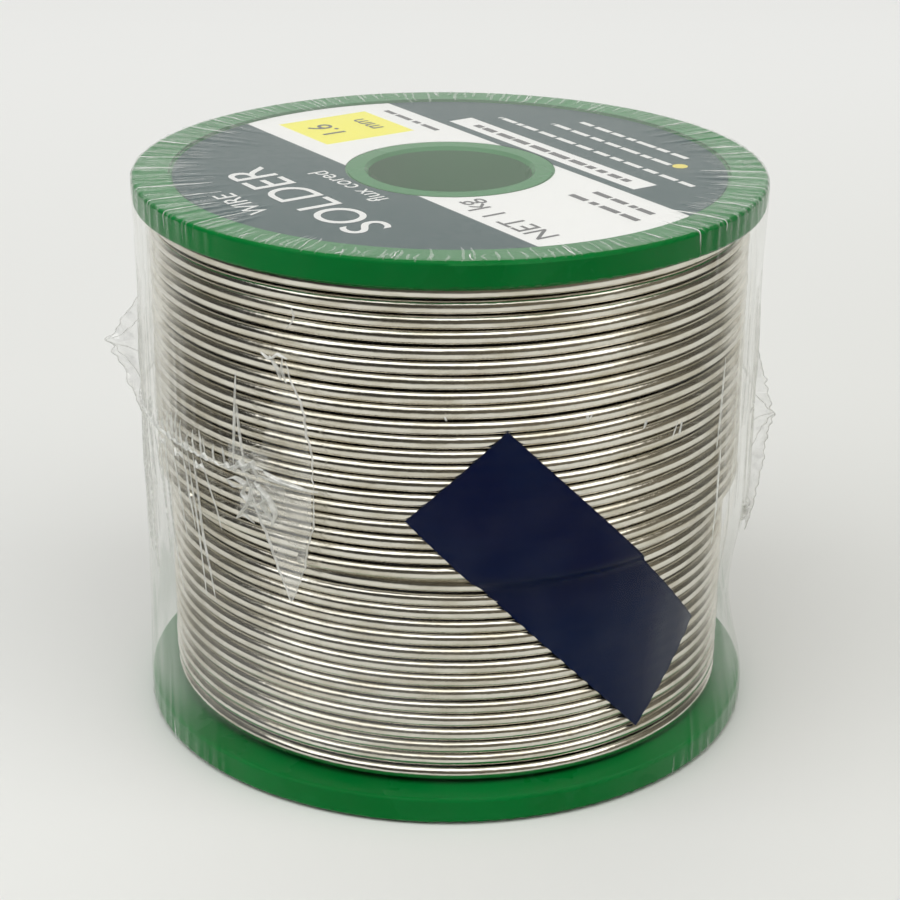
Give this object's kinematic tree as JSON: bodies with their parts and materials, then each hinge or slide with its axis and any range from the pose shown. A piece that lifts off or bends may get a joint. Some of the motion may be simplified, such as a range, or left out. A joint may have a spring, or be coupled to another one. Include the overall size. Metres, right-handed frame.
{
  "type": "solder wire spool",
  "caption": "Flanged plastic spool wound with layers of solder wire, its free end under tape, with a printed disc on top and a clear shrink film over all.",
  "frame": {"origin": "centre of the wrapped spool's base, on the outside of the film", "axes": "+Z along the spool's axis, up to the labelled flange; -Y towards the taped side of the winding"},
  "size_m": [0.0789, 0.0733, 0.065],
  "materials": {
    "spool_plastic": "moulded, glossy green",
    "solder": "bright drawn tin alloy",
    "flux": "solid rosin, amber",
    "tape": "smooth navy adhesive tape",
    "label": "printed and laminated, slate with a pale band",
    "film": "clear glossy shrink film"
  },
  "bodies": {
    "spool": {"core_tube": "spool_plastic", "top_flange": "spool_plastic", "bottom_flange": "spool_plastic", "wire_layer_01": "solder", "wire_layer_02": "solder", "wire_layer_03": "solder", "wire_layer_04": "solder", "wire_layer_05": "solder", "wire_layer_06": "solder", "wire_layer_07": "solder", "wire_layer_08": "solder", "wire_layer_09": "solder", "wire_layer_10": "solder", "wire_layer_11": "solder", "wire_layer_12": "solder", "wire_layer_13": "solder", "wire_layer_14": "solder", "wire_layer_15": "solder", "wire_layer_16": "solder", "wire_tail": "solder", "flux_core": "flux", "tape": "tape", "top_label": "label"},
    "film_top": {"film_upper": "film"},
    "film_base": {"film_lower": "film"}
  },
  "joints": [
    {"name": "film_upper_lift", "type": "slide", "parent": "spool", "child": "film_top", "axis": [0, 0, 1], "range_m": [0, 0.08]},
    {"name": "film_lower_drop", "type": "slide", "parent": "spool", "child": "film_base", "axis": [0, 0, -1], "range_m": [0, 0.08]}
  ]
}
